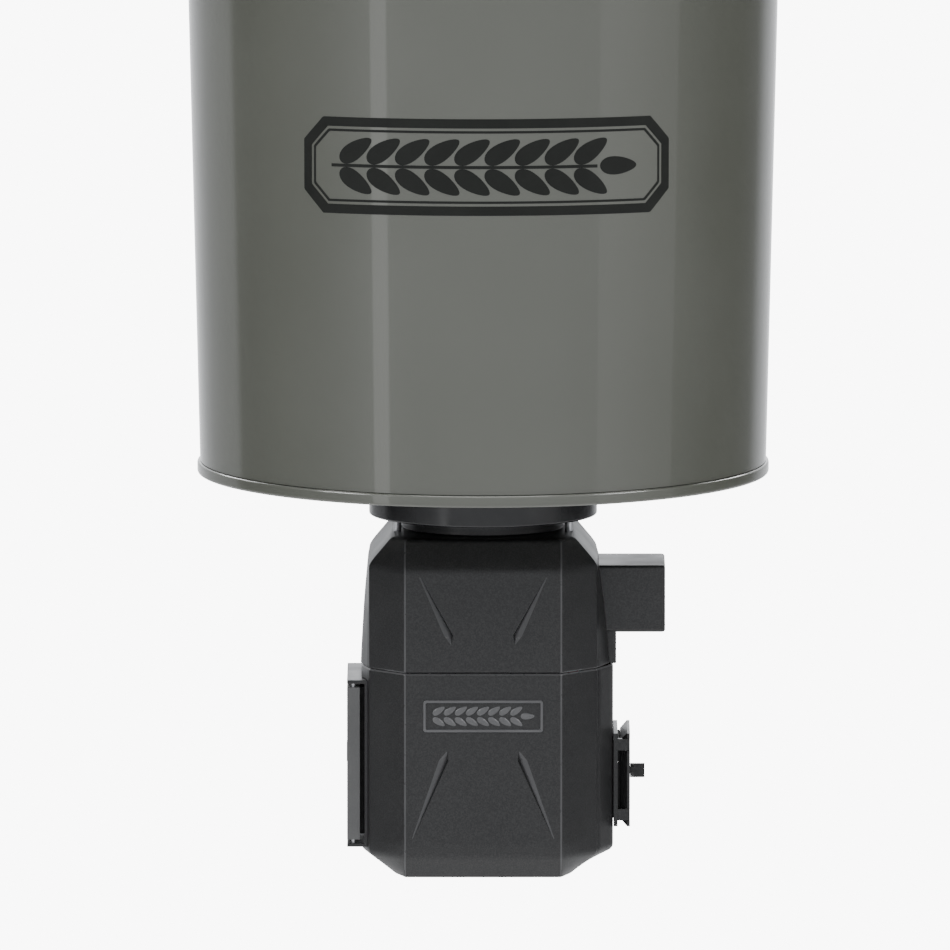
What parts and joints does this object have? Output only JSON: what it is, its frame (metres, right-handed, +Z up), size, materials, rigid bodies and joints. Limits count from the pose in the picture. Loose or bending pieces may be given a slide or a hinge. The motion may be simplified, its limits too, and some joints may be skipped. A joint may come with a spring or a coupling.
{
  "type": "hanging spin cast feeder",
  "caption": "Hanging game feeder: a steel pail hopper on a wire bail, over a twist-lock casting unit with a motor-driven spinner, a side discharge chute, a timer door and a battery door.",
  "frame": {"origin": "the hang point: underside of the bail's crown, where a hook or cord bears, on the pail's axis", "axes": "+Z up along the pail's axis; +X towards the discharge chute and the timer door, across the bail; the front panel faces -Y"},
  "size_m": [0.3426, 0.3244, 0.7036],
  "materials": {
    "olive_paint": "gloss",
    "zinc_plated_steel": "satin",
    "black_shell_plastic": "satin",
    "black_inner_plastic": "matte",
    "black_rubber": "matte",
    "battery_case": "satin",
    "circuit_board": "satin",
    "display_glass": "gloss",
    "button_grey": "matte",
    "red_wire": "satin",
    "black_wire": "satin"
  },
  "bodies": {
    "bail": {"bail_wire": "zinc_plated_steel"},
    "hopper": {"bail_ear_left": "zinc_plated_steel", "bail_ear_right": "zinc_plated_steel", "ear_rivet_left_lower": "zinc_plated_steel", "ear_rivet_left_upper": "zinc_plated_steel", "ear_rivet_right_lower": "zinc_plated_steel", "ear_rivet_right_upper": "zinc_plated_steel", "flange_bolt_1": "zinc_plated_steel", "flange_bolt_2": "zinc_plated_steel", "flange_bolt_3": "zinc_plated_steel", "hopper_bottom": "olive_paint", "hopper_funnel": "black_inner_plastic", "hopper_shell": "olive_paint", "outlet_flange": "black_inner_plastic"},
    "lid": {"lid": "olive_paint", "lid_gasket": "black_rubber"},
    "kit": {"base_pad": "black_rubber", "battery": "battery_case", "battery_door_frame": "black_shell_plastic", "battery_door_pin": "zinc_plated_steel", "battery_lead_negative": "black_wire", "battery_lead_positive": "red_wire", "battery_tray": "black_inner_plastic", "circuit_board": "circuit_board", "discharge_chute": "black_shell_plastic", "display_window": "display_glass", "housing_screw_1": "zinc_plated_steel", "housing_screw_2": "zinc_plated_steel", "housing_screw_3": "zinc_plated_steel", "housing_screw_4": "zinc_plated_steel", "lower_housing": "black_shell_plastic", "motor": "zinc_plated_steel", "motor_deck": "black_inner_plastic", "motor_lead_negative": "black_wire", "motor_lead_positive": "red_wire", "motor_screw_1": "zinc_plated_steel", "motor_screw_2": "zinc_plated_steel", "mounting_collar": "black_shell_plastic", "spinner_shroud": "black_inner_plastic", "standoff_post_1": "black_shell_plastic", "standoff_post_2": "black_shell_plastic", "standoff_post_3": "black_shell_plastic", "standoff_post_4": "black_shell_plastic", "throat_funnel": "black_inner_plastic", "timer_door_gasket": "black_rubber", "timer_door_pin": "zinc_plated_steel", "timer_faceplate": "black_inner_plastic", "timer_frame": "black_shell_plastic", "upper_housing": "black_shell_plastic"},
    "spinner": {"spinner_plate": "zinc_plated_steel", "spinner_hub": "zinc_plated_steel", "motor_shaft": "zinc_plated_steel"},
    "battery_door": {"battery_door": "black_shell_plastic", "battery_door_gasket": "black_rubber"},
    "battery_latch": {"battery_latch": "black_shell_plastic"},
    "timer_door": {"timer_door": "black_shell_plastic"},
    "timer_knob": {"timer_knob": "black_shell_plastic"},
    "button_down": {"button_down": "button_grey"},
    "button_set": {"button_set": "button_grey"},
    "button_up": {"button_up": "button_grey"}
  },
  "joints": [
    {"name": "bail_pivot", "type": "hinge", "parent": "bail", "child": "hopper", "pos_m": [0, 0, -0.18], "axis": [1, 0, 0], "range_deg": [-110, 110]},
    {"name": "lid_lift", "type": "slide", "parent": "hopper", "child": "lid", "axis": [0, 0, 1], "range_m": [0, 0.06]},
    {"name": "kit_twist", "type": "hinge", "parent": "hopper", "child": "kit", "pos_m": [0, 0, -0.5027], "axis": [0, 0, 1], "range_deg": [0, 40]},
    {"name": "spinner_spin", "type": "hinge", "parent": "kit", "child": "spinner", "pos_m": [0, 0, -0.5685], "axis": [0, 0, 1], "continuous": true},
    {"name": "battery_door_hinge", "type": "hinge", "parent": "kit", "child": "battery_door", "pos_m": [-0.06735, -0.0346, -0.6405], "axis": [0, 0, 1], "range_deg": [0, 110]},
    {"name": "battery_latch_slide", "type": "slide", "parent": "battery_door", "child": "battery_latch", "axis": [0, 1, 0], "range_m": [0, 0.0035]},
    {"name": "timer_door_hinge", "type": "hinge", "parent": "kit", "child": "timer_door", "pos_m": [0.0744, -0.0224, -0.6509], "axis": [0, 0, 1], "range_deg": [-110, 0]},
    {"name": "timer_knob_turn", "type": "hinge", "parent": "timer_door", "child": "timer_knob", "pos_m": [0.0764, 0.011, -0.6509], "axis": [1, 0, 0], "range_deg": [-90, 0]},
    {"name": "button_down_press", "type": "slide", "parent": "kit", "child": "button_down", "axis": [-1, 0, 0], "range_m": [0, 0.0012], "stiffness_N_per_m": 300, "springref_m": -0.0004},
    {"name": "button_set_press", "type": "slide", "parent": "kit", "child": "button_set", "axis": [-1, 0, 0], "range_m": [0, 0.0012], "stiffness_N_per_m": 300, "springref_m": -0.0004},
    {"name": "button_up_press", "type": "slide", "parent": "kit", "child": "button_up", "axis": [-1, 0, 0], "range_m": [0, 0.0012], "stiffness_N_per_m": 300, "springref_m": -0.0004}
  ]
}
